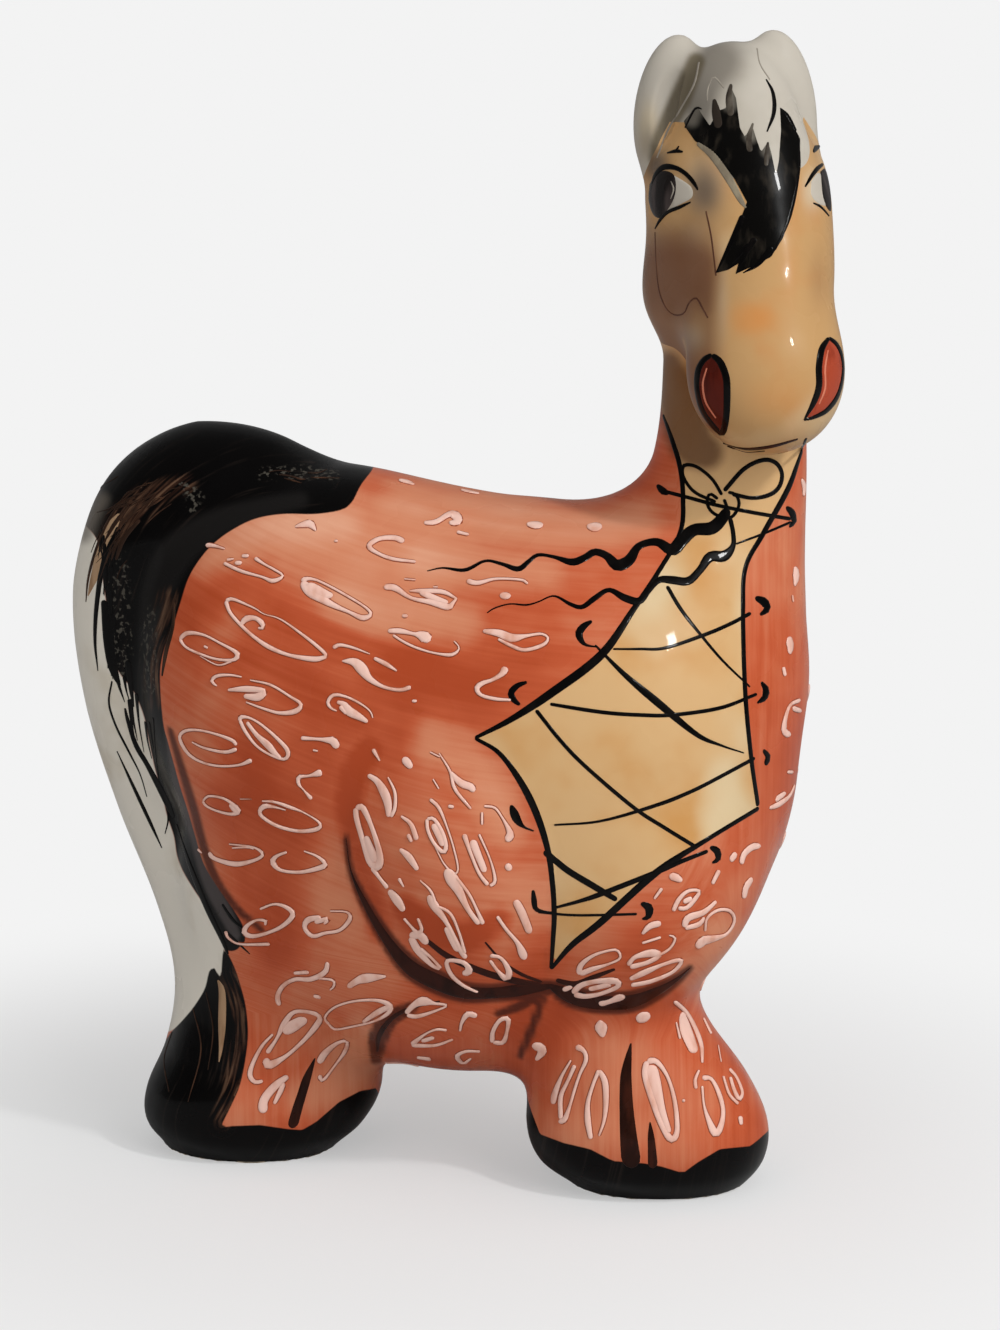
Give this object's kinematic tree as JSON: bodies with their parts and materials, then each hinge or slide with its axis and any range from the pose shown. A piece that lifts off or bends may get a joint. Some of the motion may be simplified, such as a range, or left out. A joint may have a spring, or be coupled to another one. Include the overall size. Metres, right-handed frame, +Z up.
{
  "type": "ceramic horse figurine",
  "caption": "Plump glazed ceramic horse ornament standing on fused leg pairs, with raised neck, turned head, ears, forelock, mane and a tail along the rump.",
  "frame": {"origin": "on the table under the middle of the whole figure", "axes": "+Z up, -Y towards the viewer of the laced chest and face, +X to that viewer's right"},
  "size_m": [0.1732, 0.1018, 0.2583],
  "materials": {
    "coral_glaze": "gloss glaze over brushed coral paint with raised white enamel curls",
    "ochre_glaze": "gloss glaze over peach and ochre paint",
    "white_glaze": "gloss white glaze",
    "grey_glaze": "gloss glaze over white ground with black brush strokes",
    "black_glaze": "gloss glaze over black brush strokes"
  },
  "bodies": {
    "root": {"torso": "coral_glaze", "fore_leg_pair": "coral_glaze", "hind_leg_pair": "coral_glaze", "neck": "ochre_glaze", "head": "ochre_glaze", "right_ear": "white_glaze", "left_ear": "white_glaze", "forelock": "grey_glaze", "mane": "grey_glaze", "tail": "black_glaze"}
  },
  "joints": []
}
